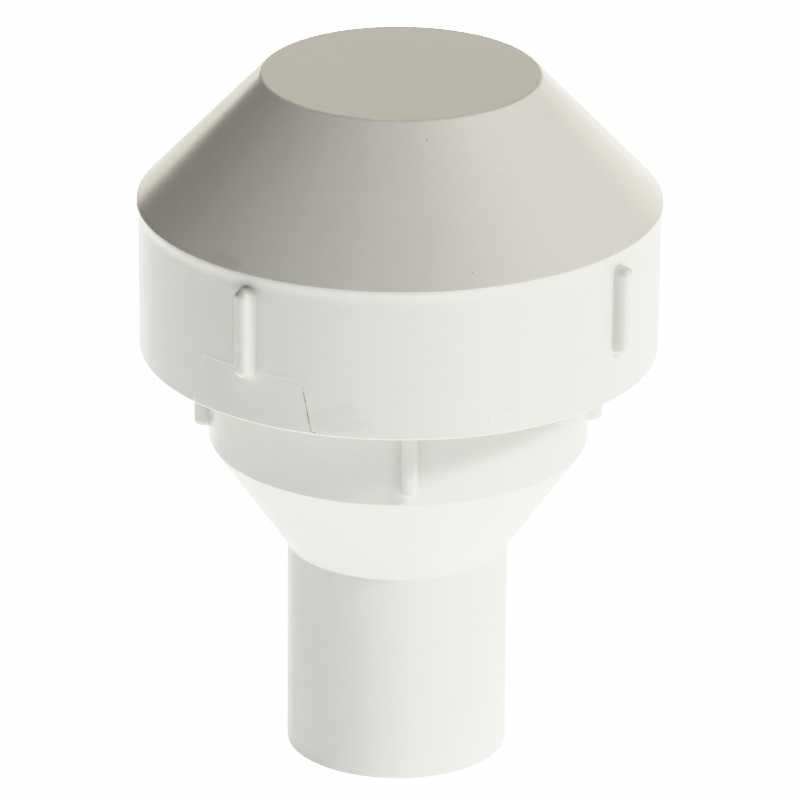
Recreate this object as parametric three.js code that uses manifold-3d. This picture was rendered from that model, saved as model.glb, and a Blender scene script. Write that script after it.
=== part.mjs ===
// Mushroom vent cowl for the top of a DN 50 vent pipe, moulded in white uPVC.
// The vent pipe's air rises through the spigot into a cup, passes over the cup's rim under a
// domed cap, and leaves downwards through the ring-shaped gap between the cup and the cap's skirt.
// Millimetres, +Z up, origin at the centre of the spigot's open end, -Y to the front.

import * as THREE from 'three';
import { mergeVertices } from 'three/addons/utils/BufferGeometryUtils.js';
import Module from 'manifold-3d';

const wasm = await Module();
wasm.setup();

// Sizes that both mouldings share
const wall = 3;
const gap = 0.3;
const facets = 72;
const bendSteps = 2;
const sink = 1;

// Roundings of the mouldings' edges, from the sharpest to the softest
const spigotFootRound = 0.25;
const lipRound = 0.4;
const boreFootRound = 0.5;
const skirtFootRound = 0.6;
const rimRound = 0.8;
const bendRound = 1;
const innerRound = 3;

// Body: spigot, flared cone and cup
const spigotRadius = 28;
const spigotTop = 54.9;
const cupRadius = 47.85;
const cupFoot = 83.4;
const cupRim = 120;

// Cap: flat top, cone whose edge stands proud as a low lip, and a skirt that widens a little
// towards the lip
const capTopRadius = 35;
const capTop = 179.8;
const capEdgeRadius = 65.85;
const capEdge = 147;
const lipBand = 0.8;
const lipFoot = 144;
const skirtTopRadius = 65.4;
const skirtRadius = 65.2;
const skirtFoot = 107.8;

// Driving lugs, four on each moulding
const lugCount = 4;
const lugHalfWidth = 2.2;
const lugSide = 0.35;
const lugHeight = 3.75;
const lugLength = 23.2;
const lugSquareness = 2.6;
const lugSteps = 8;
const cupLugFoot = 86;
const skirtLugFoot = 120.2;
const capTurn = -37.8;

// Spacer fins, which hold the cap over the cup
const finThickness = 3;
const finFoot = 112;
const finInnerTop = 37;
const finInnerFoot = 41;

const white = { color: 0xf1f1ec, roughness: 0.42, metalness: 0 };
const greyWhite = { color: 0xe4e4de, roughness: 0.5, metalness: 0 };

const coneRise = capTop - capEdge;
const coneRun = capEdgeRadius - capTopRadius;
const coneWallUpright = wall * Math.hypot(coneRise, coneRun) / coneRun;
const flareRise = cupFoot - spigotTop;
const flareRun = cupRadius - spigotRadius;
const flareWallAcross = wall * Math.hypot(flareRise, flareRun) / flareRise;

// Height of the cap cone's underside at a radius.
function coneUnderside(radius) {
  return capEdge + (capEdgeRadius - radius) * coneRise / coneRun - coneWallUpright;
}

// Height at which the inside of the body's flare has a radius.
function flareInside(radius) {
  return spigotTop + (radius + flareWallAcross - spigotRadius) * flareRise / flareRun;
}

// A closed outline from corners [radius, height, rounding], each rounded corner a short curve.
function roundedOutline(corners) {
  const outline = [];
  corners.forEach(([x, y, rounding = 0], index) => {
    const corner = new THREE.Vector2(x, y);
    if (rounding === 0) {
      outline.push(corner);
      return;
    }
    const before = corners.at(index - 1);
    const after = corners[(index + 1) % corners.length];
    const back = new THREE.Vector2(before[0], before[1]).sub(corner).normalize();
    const ahead = new THREE.Vector2(after[0], after[1]).sub(corner).normalize();
    const half = Math.acos(back.dot(ahead)) / 2;
    const reach = rounding / Math.tan(half);
    const start = corner.clone().addScaledVector(back, reach);
    const end = corner.clone().addScaledVector(ahead, reach);
    const bend = new THREE.QuadraticBezierCurve(start, corner, end);
    outline.push(...bend.getPoints(bendSteps));
  });
  return outline;
}

// A ring or dish turned about +Z from an outline in radius and height.
function turned(outline, closed) {
  const loop = closed ? [...outline, outline[0].clone()] : outline;
  return new THREE.LatheGeometry(loop, facets).rotateX(Math.PI / 2);
}

// A geometry as a solid for cutting and joining, with its shared vertices merged.
function solidOf(geometry) {
  const bare = geometry.clone();
  bare.deleteAttribute('normal');
  bare.deleteAttribute('uv');
  const merged = mergeVertices(bare, 1e-4);
  return new wasm.Manifold(new wasm.Mesh({
    numProp: 3,
    vertProperties: new Float32Array(merged.attributes.position.array),
    triVerts: new Uint32Array(merged.index.array),
  }));
}

// A joined solid back as a geometry.
function geometryOf(solid) {
  const mesh = solid.getMesh();
  const geometry = new THREE.BufferGeometry();
  geometry.setAttribute('position', new THREE.BufferAttribute(mesh.vertProperties, 3));
  geometry.setIndex(new THREE.BufferAttribute(mesh.triVerts, 1));
  geometry.computeVertexNormals();
  return geometry;
}

// One side of a lug's face, from the middle out to the edge, as [across, height above the wall]:
// low straight sides under a rounded top that is a little squarer than an ellipse.
function lugProfile() {
  const profile = [];
  for (let step = 0; step <= lugSteps; step += 1) {
    const angle = step * Math.PI / 2 / lugSteps;
    const across = Math.sin(angle) ** (2 / lugSquareness);
    const up = Math.cos(angle) ** (2 / lugSquareness);
    profile.push(new THREE.Vector2(lugHalfWidth * across, lugSide + (lugHeight - lugSide) * up));
  }
  return profile;
}

// One driving lug, standing out of the surface towards -Y with its foot at z = 0: a straight bar,
// and a dome turned from the same profile at each end.
function lug() {
  const right = lugProfile();
  const left = right.slice(1).reverse().map((point) => new THREE.Vector2(-point.x, point.y));
  const section = new THREE.Shape([
    new THREE.Vector2(-lugHalfWidth, -sink),
    ...left,
    ...right,
    new THREE.Vector2(lugHalfWidth, -sink),
  ]);
  const barLength = lugLength - 2 * lugHalfWidth;
  const bar = new THREE.ExtrudeGeometry(section, { depth: barLength, bevelEnabled: false });
  const dome = new THREE.LatheGeometry([
    new THREE.Vector2(0, -sink),
    new THREE.Vector2(lugHalfWidth, -sink),
    ...right.toReversed(),
  ], 4 * lugSteps);
  const solid = solidOf(bar).add(solidOf(dome)).add(solidOf(dome).translate([0, 0, barLength]));
  return solid.rotate([0, 0, 180]).translate([0, 0, lugHalfWidth]);
}

// A turned moulding with its four lugs round a wall of the given radius.
function withLugs(moulding, radius, foot, firstTurn) {
  let solid = solidOf(moulding);
  for (let index = 0; index < lugCount; index += 1) {
    const turn = firstTurn + index * 360 / lugCount;
    const placed = lug().translate([0, -radius, foot]).rotate([0, 0, turn]);
    solid = solid.add(placed);
  }
  return geometryOf(solid);
}

function body() {
  const boreRadius = spigotRadius - wall;
  const cupBore = cupRadius - wall;
  const outline = roundedOutline([
    [boreRadius, 0, boreFootRound],
    [spigotRadius, 0, spigotFootRound],
    [spigotRadius, spigotTop, bendRound],
    [cupRadius, cupFoot, bendRound],
    [cupRadius, cupRim, rimRound],
    [cupBore, cupRim, rimRound],
    [cupBore, flareInside(cupBore), innerRound],
    [boreRadius, flareInside(boreRadius), innerRound],
  ]);
  return withLugs(turned(outline, true), cupRadius, cupLugFoot, 0);
}

function cap() {
  const skirtBore = skirtRadius - wall;
  const underTop = capTop - wall;
  const underTopRadius = capEdgeRadius - (underTop + coneWallUpright - capEdge) * coneRun / coneRise;
  const outline = roundedOutline([
    [0, underTop],
    [underTopRadius, underTop, innerRound],
    [skirtBore, coneUnderside(skirtBore), innerRound],
    [skirtBore, skirtFoot, skirtFootRound],
    [skirtRadius, skirtFoot, skirtFootRound],
    [skirtTopRadius, lipFoot],
    [capEdgeRadius, capEdge - lipBand],
    [capEdgeRadius, capEdge, lipRound],
    [capTopRadius, capTop, bendRound],
    [0, capTop],
  ]);
  const lugWallRadius = (skirtRadius + skirtTopRadius) / 2;
  return withLugs(turned(outline, false), lugWallRadius, skirtLugFoot, capTurn);
}

// A fin's outline in radius and height: it fills the corner under the cap's cone, and its foot is
// notched to sit astride the cup's rim.
function spacerFin() {
  const outer = skirtRadius - wall - 2 * gap;
  const underCone = 2 * gap;
  const notchIn = cupRadius - wall - gap;
  const notchOut = cupRadius + gap;
  const outline = new THREE.Shape([
    new THREE.Vector2(finInnerFoot, finFoot),
    new THREE.Vector2(notchIn, finFoot),
    new THREE.Vector2(notchIn, cupRim + gap),
    new THREE.Vector2(notchOut, cupRim + gap),
    new THREE.Vector2(notchOut, finFoot),
    new THREE.Vector2(outer, finFoot),
    new THREE.Vector2(outer, coneUnderside(outer) - underCone - wall),
    new THREE.Vector2(outer - wall, coneUnderside(outer - wall) - underCone),
    new THREE.Vector2(finInnerTop, coneUnderside(finInnerTop) - underCone),
  ]);
  const plate = new THREE.ExtrudeGeometry(outline, { depth: finThickness, bevelEnabled: false });
  return plate.translate(0, 0, -finThickness / 2).rotateX(Math.PI / 2);
}

// A named mesh of one piece in its plastic.
function piece(name, geometry, plastic) {
  const mesh = new THREE.Mesh(geometry, new THREE.MeshStandardMaterial(plastic));
  mesh.name = name;
  return mesh;
}

const ventCowl = new THREE.Group();
ventCowl.add(piece('cowl_body', body(), white));
ventCowl.add(piece('cowl_cap', cap(), white));

const fins = new THREE.Group();
fins.rotation.z = THREE.MathUtils.degToRad(capTurn - 90);
ventCowl.add(fins);
for (let index = 0; index < lugCount; index += 1) {
  const fin = piece(`spacer_fin_${index + 1}`, spacerFin(), greyWhite);
  fin.rotation.z = index * 2 * Math.PI / lugCount;
  fins.add(fin);
}

export default ventCowl;
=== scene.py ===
# A mushroom vent cowl in white uPVC: a spigot that flares into a cup, four spacer fins that stand on
# the cup's rim, and a domed cap whose skirt hangs round the cup. Metres, +Z up.
import math

import bmesh
import bpy
from mathutils import Matrix, Vector


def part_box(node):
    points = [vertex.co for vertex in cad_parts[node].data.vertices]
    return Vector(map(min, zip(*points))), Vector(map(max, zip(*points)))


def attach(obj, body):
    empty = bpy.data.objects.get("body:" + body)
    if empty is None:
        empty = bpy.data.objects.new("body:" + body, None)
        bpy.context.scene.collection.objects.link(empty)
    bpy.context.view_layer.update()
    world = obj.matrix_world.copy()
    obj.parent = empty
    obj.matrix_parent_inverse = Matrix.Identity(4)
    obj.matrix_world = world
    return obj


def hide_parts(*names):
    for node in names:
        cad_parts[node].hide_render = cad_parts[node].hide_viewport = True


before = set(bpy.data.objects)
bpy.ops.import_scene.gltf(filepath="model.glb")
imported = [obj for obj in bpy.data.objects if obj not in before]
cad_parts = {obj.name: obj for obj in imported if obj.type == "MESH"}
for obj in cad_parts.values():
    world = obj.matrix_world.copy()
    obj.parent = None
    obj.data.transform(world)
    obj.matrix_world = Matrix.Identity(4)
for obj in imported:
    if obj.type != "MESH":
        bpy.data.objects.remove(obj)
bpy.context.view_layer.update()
scene = bpy.context.scene

# Camera: a long lens that looks down on the cowl from a little to the left of its front lugs. It
# stands far off, so that the spigot's sides stay nearly parallel.
camera_turn = math.radians(-3.3)
camera_rise = math.radians(21.86)
camera_roll = math.radians(0.43)
camera_distance = 2.044
camera_pivot = Vector((0, 0, 0.1))
camera_aim = Vector((0.0004, 0, 0.0922))

camera_back = Vector((
    math.sin(camera_turn) * math.cos(camera_rise),
    -math.cos(camera_turn) * math.cos(camera_rise),
    math.sin(camera_rise),
))
camera = bpy.data.objects.new("camera", bpy.data.cameras.new("camera"))
camera.data.lens = 365.5
camera.data.clip_end = 20
camera.location = camera_pivot + camera_back * camera_distance
camera_view = (camera_aim - camera.location).to_track_quat("-Z", "Y").to_matrix()
camera.rotation_euler = (camera_view @ Matrix.Rotation(camera_roll, 3, "Z")).to_euler()
scene.collection.objects.link(camera)
scene.camera = camera


# Body: one uPVC moulding, a straight spigot that flares out to a cup. Four driving lugs stand on the
# cup, for the tool that holds it while the cap is put on. Every edge has a mould's small round.
body_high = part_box("cowl_body")[1]
wall = 0.003
spigot_radius = 0.028
spigot_top = 0.0549
cup_radius = 0.04785
cup_foot = 0.0834
cup_rim = body_high.z
foot_round = 0.00025
bore_round = 0.0005
rim_round = 0.0008
bend_round = 0.0010
inner_round = 0.003
lug_half_width = 0.0022
lug_side = 0.00035
lug_height = body_high.x - cup_radius
lug_length = 0.0232
lug_squareness = 2.6
lug_fillet = 0.0003
cup_lug_foot = 0.086
foot_depth = 0.0006
touching = 1e-7


def rounded_outline(corners, closed, steps=7, support=0.0003):
    """Outline points from corners (across, up, rounding). A rounded corner is an arc, and a
    support point just past each end of it keeps the shading of the flats flat."""
    points = [Vector(corner[:2]) for corner in corners]
    outline = []
    for index, (corner, rounding) in enumerate(zip(points, (c[2] for c in corners))):
        before = points[index - 1]
        after = points[(index + 1) % len(points)]
        if not rounding:
            outline.append(corner)
            continue
        back = (before - corner).normalized()
        ahead = (after - corner).normalized()
        half = back.angle(ahead) / 2
        reach = rounding / math.tan(half)
        centre = corner + (back + ahead).normalized() * rounding / math.sin(half)
        start = corner + back * reach - centre
        sweep = start.angle_signed(corner + ahead * reach - centre)
        outline.append(corner + back * (reach + support))
        for step in range(steps + 1):
            turn = Matrix.Rotation(-sweep * step / steps, 2)
            outline.append(centre + turn @ start)
        outline.append(corner + ahead * (reach + support))
    return outline + outline[:1] if closed else outline


def add_turned(shell, outline, facets=288):
    """Adds the surface that an outline of (radius, height) sweeps round the Z axis."""
    rings = []
    for radius, height in outline:
        if radius < touching:
            rings.append([shell.verts.new((0, 0, height))] * facets)
            continue
        ring = []
        for facet in range(facets):
            turn = 2 * math.pi * facet / facets
            ring.append(shell.verts.new((radius * math.cos(turn), radius * math.sin(turn), height)))
        rings.append(ring)
    for lower, upper in zip(rings, rings[1:]):
        for facet in range(facets):
            corners = (lower[facet - 1], lower[facet], upper[facet], upper[facet - 1])
            shell.faces.new(list(dict.fromkeys(corners)))


def add_rows(shell, rows, ring_of_rows):
    """Adds the faces between rows of points, and from the last row to the first if they ring."""
    grid = [[shell.verts.new(point) for point in row] for row in rows]
    followers = grid[1:] + grid[:1] if ring_of_rows else grid[1:]
    for row, following in zip(grid, followers):
        for index in range(len(row) - 1):
            shell.faces.new((row[index], following[index], following[index + 1], row[index + 1]))
    return grid


def on_wall(across, height, rise, wall_radius, turn):
    """The point a distance round a wall from a turn about +Z, standing out of the wall by a rise."""
    radius = wall_radius(height)
    angle = turn + across / radius
    return ((radius + rise) * math.sin(angle), -(radius + rise) * math.cos(angle), height)


def add_lug(shell, wall_radius, foot, turn):
    """Adds one lug: low straight sides under a rounded top a little squarer than an ellipse, the
    same all the way round its two half-round ends. A tiny fillet runs out along the wall round it,
    and its closed foot is sunk in the wall."""
    half = lug_half_width
    run = lug_length / 2 - half
    fillet_steps = 5
    crown_steps = 24
    end_steps = 32
    side_steps = 16
    foot_reach = half + 1.5 * lug_fillet
    profile = [(0, -foot_depth), (foot_reach, -foot_depth), (foot_reach, -0.02 * lug_fillet)]
    for step in range(fillet_steps + 1):
        angle = math.pi / 2 * step / fillet_steps
        profile.append((half + lug_fillet * (1 - math.sin(angle)), lug_fillet * (1 - math.cos(angle))))
    for step in range(1, crown_steps + 1):
        angle = math.pi / 2 * step / crown_steps
        reach = half * math.cos(angle) ** (2 / lug_squareness)
        rise = lug_side + (lug_height - lug_side) * math.sin(angle) ** (2 / lug_squareness)
        profile.append((reach if step < crown_steps else 0, rise))
    path = []
    for end in (1, -1):
        for step in range(end_steps):
            angle = math.pi * step / end_steps
            path.append((end * math.cos(angle), end * math.sin(angle), end * run))
        for step in range(side_steps):
            path.append((-end, 0.0, end * run * (1 - 2 * step / side_steps)))
    rows = []
    for across, along, middle in path:
        centre = foot + lug_length / 2 + middle
        rows.append([
            on_wall(reach * across, centre + reach * along, rise, wall_radius, turn)
            for reach, rise in profile
        ])
    add_rows(shell, rows, ring_of_rows=True)


def finished_piece(name, shell, material, slot_name, *nodes):
    """Makes the object, shades it smooth, and sets it on the frame in the CAD nodes' place."""
    bmesh.ops.remove_doubles(shell, verts=shell.verts, dist=touching)
    bmesh.ops.recalc_face_normals(shell, faces=shell.faces)
    mesh = bpy.data.meshes.new(name)
    shell.to_mesh(mesh)
    shell.free()
    mesh.shade_smooth()
    mesh.materials.append(material)
    piece = bpy.data.objects.new(name, mesh)
    scene.collection.objects.link(piece)
    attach(piece, "root")
    if nodes:
        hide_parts(*nodes)


def flare_inside(radius):
    """Height at which the inside of the flare has a radius."""
    rise = cup_foot - spigot_top
    run = cup_radius - spigot_radius
    across = wall * math.hypot(rise, run) / rise
    return spigot_top + (radius + across - spigot_radius) * rise / run


class Socket:
    """An output of a shader node. Sums and products of sockets and numbers add Math nodes."""

    def __init__(self, tree, output=None):
        self.tree = tree
        self.output = output

    def node(self, kind, settings=None, inputs=None, output=0):
        """Adds a node: its settings are set first, then the values or links of its sockets."""
        made = self.tree.nodes.new(kind)
        for name, value in (settings or {}).items():
            setattr(made, name, value)
        for name, value in (inputs or {}).items():
            if isinstance(value, Socket):
                self.tree.links.new(value.output, made.inputs[name])
            else:
                made.inputs[name].default_value = value
        return Socket(self.tree, made.outputs[output]) if made.outputs else None

    def _math(self, operation, first, second):
        return self.node("ShaderNodeMath", {"operation": operation}, {0: first, 1: second})

    def __add__(self, other):
        return self._math("ADD", self, other)

    __radd__ = __add__

    def __sub__(self, other):
        return self._math("SUBTRACT", self, other)

    def __rsub__(self, other):
        return self._math("SUBTRACT", other, self)

    def __mul__(self, other):
        return self._math("MULTIPLY", self, other)

    __rmul__ = __mul__

    def __pow__(self, other):
        return self._math("POWER", self, other)

    def at_least(self, low):
        return self._math("MAXIMUM", self, low)

    def between(self, low, high):
        """0 at low and 1 at high, with a smooth step from one to the other."""
        settings = {"interpolation_type": "SMOOTHSTEP"}
        return self.node("ShaderNodeMapRange", settings, {0: self, 1: low, 2: high})


def noise(place, scale, detail=3, stretch=(1, 1, 1)):
    """Cloudy noise on object coordinates, which may run longer along one axis than another."""
    scaled = place.node("ShaderNodeVectorMath", {"operation": "MULTIPLY"}, {0: place, 1: stretch})
    return place.node("ShaderNodeTexNoise", inputs={"Vector": scaled, "Scale": scale, "Detail": detail})


def mixed(amount, first, second):
    """The first colour where the amount is 0, the second where it is 1."""
    colours = {0: amount, 6: first, 7: second}
    return amount.node("ShaderNodeMix", {"data_type": "RGBA"}, colours, 2)


def smear(place, ragged, start, end, size):
    """The mask of a mark drawn from one point to another: 1 along its middle, 0 further away than
    its size, with a ragged edge."""
    length = math.dist(start, end)
    way = (Vector(end) - Vector(start)) / length
    shift = {0: place, 1: start}
    offset = place.node("ShaderNodeVectorMath", {"operation": "SUBTRACT"}, shift)
    along = place.node("ShaderNodeVectorMath", {"operation": "DOT_PRODUCT"}, {0: offset, 1: way}, "Value")
    held = length - (length - along.at_least(0)).at_least(0)
    nearest = place.node("ShaderNodeVectorMath", {"operation": "SCALE"}, {0: way, "Scale": held})
    apart = {0: offset, 1: nearest}
    away = place.node("ShaderNodeVectorMath", {"operation": "DISTANCE"}, apart, "Value")
    return (away + 1.6 * size * (ragged - 0.5)).between(size, 0.3 * size)


def white_upvc(name, clean, aged, marks=()):
    """Moulded white uPVC that has stood outdoors: a satin skin with faint flow mottling, thin
    scuffs and a few dark specks, with painted warm light from above on the faces that look up.
    Each mark is a (start, end, size, colour)."""
    material = bpy.data.materials.new(name)
    material.use_nodes = True
    tree = material.node_tree
    tree.nodes.clear()
    start = Socket(tree)
    place = start.node("ShaderNodeTexCoord", output="Object")
    facing = start.node("ShaderNodeNewGeometry", output="Normal")
    skyward = start.node("ShaderNodeSeparateXYZ", inputs={0: facing}, output="Z").between(0.25, 0.9)

    cloud = noise(place, 28)
    flow = noise(place, 95, 2, (1, 1, 0.22))
    grain = noise(place, 620, 2)
    ragged = noise(place, 900, 3)
    patches = noise(place, 46, 2)
    cells = {"Vector": place, "Scale": 210, "Randomness": 1}
    speck_distance = start.node("ShaderNodeTexVoronoi", inputs=cells, output="Distance")
    speck_colour = start.node("ShaderNodeTexVoronoi", inputs=cells, output="Color")
    speck_draw = start.node("ShaderNodeSeparateColor", inputs={0: speck_colour}, output="Red")
    specks = (speck_distance + 0.04 * (ragged - 0.5)).between(0.045, 0.015) * speck_draw.between(0.6, 1)
    scuffs = noise(place, 9, 4, (5, 5, 110)).between(0.62, 0.74) * patches.between(0.5, 0.72)

    colour = mixed(cloud.between(0.35, 0.7), clean, aged)
    # Painted warm light: faces that look up are tinted warmer, standing in for the warm light from above.
    colour = mixed(skyward * (0.7 + 0.5 * flow), colour, painted_warm_light_tint)
    colour = mixed(flow.between(0.5, 0.8) * 0.35, colour, flow_grey)
    colour = mixed(grain.between(0.5, 0.75) * 0.3, colour, flow_grey)
    colour = mixed(scuffs * 0.15, colour, scuff_pale)
    colour = mixed(specks * 0.75, colour, speck_brown)
    for start_point, end_point, size, mark_colour in marks:
        colour = mixed(smear(place, ragged, start_point, end_point, size), colour, mark_colour)

    relief = 0.5 * grain + 0.5 * noise(place, 150, 2) - 0.1 * scuffs
    normal = start.node("ShaderNodeBump", inputs={"Strength": 0.15, "Distance": 0.0002, "Height": relief})
    plastic = start.node("ShaderNodeBsdfPrincipled", inputs={
        "Base Color": colour,
        "Roughness": 0.16 + 0.08 * cloud + 0.05 * grain + 0.08 * scuffs,
        "Normal": normal,
        "IOR": 1.5,
    })
    start.node("ShaderNodeOutputMaterial", inputs={"Surface": plastic})
    return material


upvc_clean = (0.802, 0.816, 0.778, 1)
upvc_aged = (0.788, 0.802, 0.755, 1)
# Painted warm light from above, mixed onto the faces that look up.
painted_warm_light_tint = (0.815, 0.80, 0.750, 1)
flow_grey = (0.758, 0.769, 0.728, 1)
scuff_pale = (0.84, 0.845, 0.81, 1)
speck_brown = (0.16, 0.12, 0.07, 1)

body_shell = bmesh.new()
add_turned(body_shell, rounded_outline([
    (spigot_radius - wall, 0, bore_round),
    (spigot_radius, 0, foot_round),
    (spigot_radius, spigot_top, bend_round),
    (cup_radius, cup_foot, rim_round),
    (cup_radius, cup_rim, rim_round),
    (cup_radius - wall, cup_rim, rim_round),
    (cup_radius - wall, flare_inside(cup_radius - wall), inner_round),
    (spigot_radius - wall, flare_inside(spigot_radius - wall), inner_round),
], closed=True))
for quarter in range(4):
    add_lug(body_shell, lambda height: cup_radius, cup_lug_foot, quarter * math.pi / 2)
body_upvc = white_upvc("body_upvc", upvc_clean, upvc_aged)
finished_piece("body_moulding", body_shell, body_upvc, "white_plastic", "cowl_body")


# Cap: one uPVC moulding, a flat top and a cone with a skirt round its edge, which stands proud as a
# low lip. The skirt has four driving lugs of its own, and round the foot of each one the mould's
# insert left a fine step.
cap_low, cap_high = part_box("cowl_cap")
cap_top_radius = 0.0350
cap_edge_radius = cap_high.x
cap_edge = 0.147
lip_band = 0.0008
lip_foot = 0.144
skirt_top_radius = 0.0654
skirt_radius = 0.0652
skirt_foot = cap_low.z
skirt_lug_foot = 0.1202
cap_turn = math.radians(-37.8)
step_top = 0.1217
step_half_top = 0.01503
step_half_foot = 0.01754
skirt_edge_round = 0.0006
cap_edge_round = 0.0004
lip_round = 0.0015
lip_foot_round = 0.010
top_round = 0.0012
step_corner_round = 0.0012
step_rise = 0.00005
step_pitch = 0.0007
lip_support = 0.0002
fine_support = 0.0001


def cone_underside(radius):
    """Height of the underside of the cap's cone at a radius."""
    rise = cap_high.z - cap_edge
    run = cap_edge_radius - cap_top_radius
    return cap_edge + (cap_edge_radius - radius) * rise / run - wall * math.hypot(rise, run) / run


def skirt_wall(height):
    """Radius of the skirt's outside at a height: it widens a little towards the lip."""
    up = (height - skirt_foot) / (lip_foot - skirt_foot)
    return skirt_radius + (skirt_top_radius - skirt_radius) * up


def evenly(points, pitch):
    """The same line with points no further apart than the pitch."""
    line = [points[0]]
    for start, end in zip(points, points[1:]):
        count = max(math.ceil((end - start).length / pitch), 1)
        line += [start.lerp(end, step / count) for step in range(1, count + 1)]
    return line


def add_insert_step(shell, turn):
    """Adds the step that a mould insert leaves: it rises gently from outside, then drops off steeply
    towards the lug. It runs up from the skirt's foot, across below the lug, and down again."""
    foot = skirt_foot + skirt_edge_round
    line = evenly(rounded_outline([
        (-step_half_foot, foot, 0),
        (-step_half_top, step_top, step_corner_round),
        (step_half_top, step_top, step_corner_round),
        (step_half_foot, foot, 0),
    ], closed=False, support=fine_support), step_pitch)
    profile = [
        (-0.0004, -foot_depth), (-0.00026, -step_rise), (-0.00013, 0), (-0.00002, 0.85 * step_rise),
        (0.00006, step_rise), (0.00018, 0.94 * step_rise), (0.0006, 0.56 * step_rise), (0.0012, 0),
        (0.0018, -0.56 * step_rise), (0.0018, -foot_depth), (-0.0004, -foot_depth),
    ]
    rows = []
    for index, point in enumerate(line):
        ahead = line[min(index + 1, len(line) - 1)] - line[max(index - 1, 0)]
        outward = Vector((-ahead.y, ahead.x)).normalized()
        spread = [(point + outward * offset, rise) for offset, rise in profile]
        rows.append([on_wall(place.x, place.y, rise, skirt_wall, turn) for place, rise in spread])
    grid = add_rows(shell, rows, ring_of_rows=False)
    shell.faces.new(grid[0][:-1])
    shell.faces.new(grid[-1][:-1])


under_top = cap_high.z - wall
under_top_radius = cap_edge_radius - (cap_edge_radius - cap_top_radius) * (
    (under_top - cone_underside(cap_edge_radius)) / (cap_high.z - cap_edge)
)
skirt_bore = skirt_radius - wall
cap_shell = bmesh.new()
add_turned(cap_shell, rounded_outline([
    (0, under_top, 0),
    (under_top_radius, under_top, inner_round),
    (skirt_bore, cone_underside(skirt_bore), inner_round),
    (skirt_bore, skirt_foot, skirt_edge_round),
    (skirt_radius, skirt_foot, skirt_edge_round),
    (skirt_top_radius, lip_foot, lip_foot_round),
    (cap_edge_radius, cap_edge - lip_band, lip_round),
    (cap_edge_radius, cap_edge, cap_edge_round),
    (cap_top_radius, cap_high.z, top_round),
    (0, cap_high.z, 0),
], closed=False, support=lip_support))
for quarter in range(4):
    lug_turn = cap_turn + quarter * math.pi / 2
    add_lug(cap_shell, skirt_wall, skirt_lug_foot, lug_turn)
    add_insert_step(cap_shell, lug_turn)

# Dirt that has caught in one of the steps, two smudges, a stain on the cone's edge and a nick in the
# lip, each given by the turn about +Z in degrees and the height at both its ends, its size and its
# colour.
dirt_brown = (0.26, 0.21, 0.14, 1)
dirt_faint = (0.55, 0.53, 0.46, 1)
smudge = (0.772, 0.781, 0.742, 1)
stain = (0.765, 0.745, 0.695, 1)
nick_grey = (0.66, 0.66, 0.62, 1)
cap_marks = []
for first_turn, first_height, last_turn, last_height, size, mark_colour in (
    (-24.35, 0.1203, -22.45, 0.1092, 0.00022, dirt_faint),
    (-24.05, 0.1185, -23.70, 0.1164, 0.00018, dirt_brown),
    (-23.20, 0.1135, -22.75, 0.1110, 0.00022, dirt_brown),
    (-22.40, 0.1088, -21.50, 0.1084, 0.00022, dirt_brown),
    (-20.50, 0.1120, -14.00, 0.1155, 0.00300, smudge),
    (-17.00, 0.1110, -10.00, 0.1120, 0.00240, smudge),
    (-47.50, 0.1490, -41.50, 0.1487, 0.00280, stain),
    (17.90, 0.1470, 18.40, 0.1470, 0.00030, nick_grey),
):
    start_point = on_wall(0, first_height, 0, skirt_wall, math.radians(first_turn))
    end_point = on_wall(0, last_height, 0, skirt_wall, math.radians(last_turn))
    cap_marks.append((start_point, end_point, size, mark_colour))
cap_upvc = white_upvc("cap_upvc", upvc_clean, upvc_aged, cap_marks)
finished_piece("cap_moulding", cap_shell, cap_upvc, "white_plastic", "cowl_cap")


# Spacer fins: four plates cut from uPVC sheet. Each one is notched to sit astride the cup's rim, and
# holds the cap's cone and skirt clear of it.
fin_gap = 0.0003
fin_thickness = 0.003
fin_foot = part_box("spacer_fin_1")[0].z
fin_inner_top = 0.037
fin_inner_foot = 0.041
fin_corner_round = 0.0006
fin_notch_round = 0.0004
fin_bevel = 0.00025
fin_outer = skirt_bore - 2 * fin_gap
notch_in = cup_radius - wall - fin_gap
notch_out = cup_radius + fin_gap
notch_top = cup_rim + fin_gap


def under_cone(radius):
    """Height of a fin's top edge at a radius."""
    return cone_underside(radius) - 2 * fin_gap


fin_upvc = white_upvc("fin_upvc", (0.77, 0.775, 0.73, 1), (0.74, 0.74, 0.69, 1))
fin_corners = [
    (fin_inner_foot, fin_foot, fin_corner_round),
    (notch_in, fin_foot, fin_notch_round),
    (notch_in, notch_top, 0),
    (notch_out, notch_top, 0),
    (notch_out, fin_foot, fin_notch_round),
    (fin_outer, fin_foot, fin_corner_round),
    (fin_outer, under_cone(fin_outer) - wall, fin_notch_round),
    (fin_outer - wall, under_cone(fin_outer - wall), fin_notch_round),
    (fin_inner_top, under_cone(fin_inner_top), fin_corner_round),
]
for number in range(1, 5):
    fin_turn = cap_turn + (number - 1) * math.pi / 2
    spin = Matrix.Rotation(fin_turn - math.pi / 2, 3, "Z")
    fin_shell = bmesh.new()
    outline = rounded_outline(fin_corners, closed=False, steps=4, support=fine_support)
    near = [fin_shell.verts.new(spin @ Vector((p.x, -fin_thickness / 2, p.y))) for p in outline]
    far = [fin_shell.verts.new(spin @ Vector((p.x, fin_thickness / 2, p.y))) for p in outline]
    for index in range(len(near)):
        fin_shell.faces.new((near[index - 1], near[index], far[index], far[index - 1]))
    flats = [fin_shell.faces.new(near), fin_shell.faces.new(far)]
    rims = list({edge for flat in flats for edge in flat.edges})
    bmesh.ops.bevel(fin_shell, geom=rims, offset=fin_bevel, segments=3, profile=0.5, affect="EDGES")
    finished_piece(f"fin_plate_{number}", fin_shell, fin_upvc, "fin_plastic", f"spacer_fin_{number}")


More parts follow.
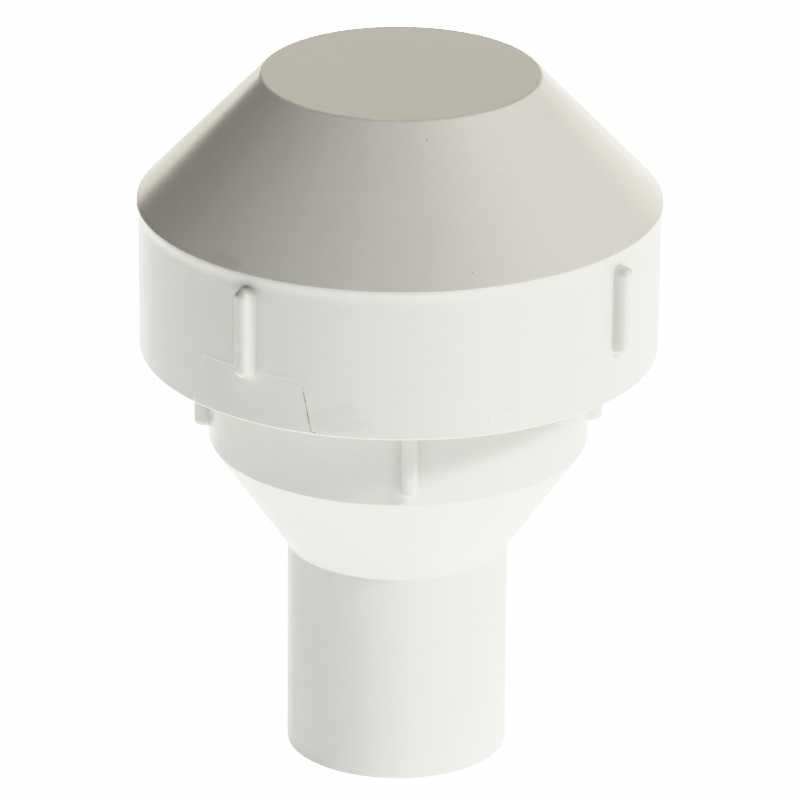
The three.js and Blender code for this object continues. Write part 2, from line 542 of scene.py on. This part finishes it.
# Cement: a bead of uPVC cement down both faces of each fin, one over the cup's rim and one along the
# underside of the cone. They are laid by hand, so each swells and thins a little on its way.
bead_radius = 0.0008
bead_pitch = 0.0006
bead_sides = 12


def add_bead(shell, points, phase):
    """Adds a closed round bead along a line of points, with blunt ends."""
    line = evenly([Vector(point) for point in points], bead_pitch)
    across = (line[1] - line[0]).orthogonal()
    rows = []
    for index, point in enumerate(line):
        ahead = (line[min(index + 1, len(line) - 1)] - line[max(index - 1, 0)]).normalized()
        across = (across - ahead * across.dot(ahead)).normalized()
        beside = ahead.cross(across)
        end = min(index, len(line) - 1 - index) / 2
        swell = 1 + 0.15 * math.sin(0.9 * index + phase) + 0.1 * math.sin(2.3 * index + 2 * phase)
        radius = bead_radius * swell * math.sqrt(1 - max(1 - end, 0) ** 2 * 0.9)
        rows.append([
            point + radius * (math.cos(turn) * across + math.sin(turn) * beside)
            for turn in (2 * math.pi * side / bead_sides for side in range(bead_sides + 1))
        ])
    grid = add_rows(shell, rows, ring_of_rows=False)
    shell.faces.new(grid[0][:-1])
    shell.faces.new(grid[-1][:-1])


cement_pvc = white_upvc("cement_pvc", (0.72, 0.71, 0.64, 1), (0.66, 0.64, 0.56, 1))
for number in range(1, 5):
    fin_turn = cap_turn + (number - 1) * math.pi / 2
    spin = Matrix.Rotation(fin_turn - math.pi / 2, 3, "Z")
    cement_shell = bmesh.new()
    for side in (-1, 1):
        face = side * fin_thickness / 2
        over_rim = [
            (cup_radius - wall, fin_foot + wall / 2), (cup_radius - wall, cup_rim),
            (cup_radius, cup_rim), (cup_radius, fin_foot + wall / 2),
        ]
        under = [(radius, cone_underside(radius)) for radius in (fin_inner_top + wall, fin_outer - wall)]
        for phase, route in enumerate((over_rim, under)):
            add_bead(
                cement_shell,
                [spin @ Vector((radius, face, height)) for radius, height in route],
                phase + number + side,
            )
    finished_piece(f"cement_{number}", cement_shell, cement_pvc, "fin_plastic")


# Floor and light: a white table that runs out of sight and glows a little, a low white wall behind,
# a warm soft light high on the right, and two small lamps nearer the front. The left is dark.
floor_shell = bmesh.new()
bmesh.ops.create_grid(floor_shell, x_segments=1, y_segments=1, size=6)
floor_mesh = bpy.data.meshes.new("floor")
floor_shell.to_mesh(floor_mesh)
floor_shell.free()
floor = bpy.data.objects.new("floor", floor_mesh)
scene.collection.objects.link(floor)

floor_white = bpy.data.materials.new("floor_white")
floor_white.use_nodes = True
floor_white.node_tree.nodes.clear()
floor_start = Socket(floor_white.node_tree)
table = floor_start.node("ShaderNodeBsdfPrincipled", inputs={
    "Base Color": (0.9, 0.9, 0.9, 1),
    "Roughness": 0.5,
    "Emission Color": (1, 1, 1, 1),
    "Emission Strength": 1.02,
})
paper = floor_start.node("ShaderNodeEmission", inputs={"Strength": 12})
seen = floor_start.node("ShaderNodeLightPath", output="Is Camera Ray")
floor_look = floor_start.node("ShaderNodeMixShader", inputs={0: seen, 1: table, 2: paper})
floor_start.node("ShaderNodeOutputMaterial", inputs={"Surface": floor_look})
floor_mesh.materials.append(floor_white)

scene.view_settings.view_transform = "Khronos PBR Neutral"
scene.world = bpy.data.worlds.new("studio")
scene.world.use_nodes = True
scene.world.node_tree.nodes.clear()
studio = Socket(scene.world.node_tree)
direction = studio.node("ShaderNodeTexCoord", output="Generated")
neutral = (0.99, 1.0, 1.01)
pale = (1.05, 1.0, 0.86)
warm = (1.11, 1.0, 0.87)
light = None
for turn, rise, strength, tightness, tint in (
    (150, 4, 1.0, 34, pale),
    (180, 4, 3.2, 44, pale),
    (199, 2, 3.9, 110, pale),
    (120, 62, 3.1, 22, warm),
    (68, 33, 35, 300, neutral),
    (50, 40, 41, 300, neutral),
):
    azimuth = math.radians(turn) + camera_turn
    height = math.radians(rise)
    aim = (math.sin(azimuth) * math.cos(height), -math.cos(azimuth) * math.cos(height), math.sin(height))
    towards = {0: direction, 1: aim}
    facing = studio.node("ShaderNodeVectorMath", {"operation": "DOT_PRODUCT"}, towards, "Value")
    colour = tuple(strength * part for part in tint)
    glow = studio.node(
        "ShaderNodeVectorMath", {"operation": "SCALE"}, {0: colour, "Scale": facing.at_least(0) ** tightness}
    )
    light = glow if light is None else studio.node("ShaderNodeVectorMath", {}, {0: light, 1: glow})
sky = studio.node("ShaderNodeBackground", inputs={"Color": light})
studio.node("ShaderNodeOutputWorld", inputs={"Surface": sky})
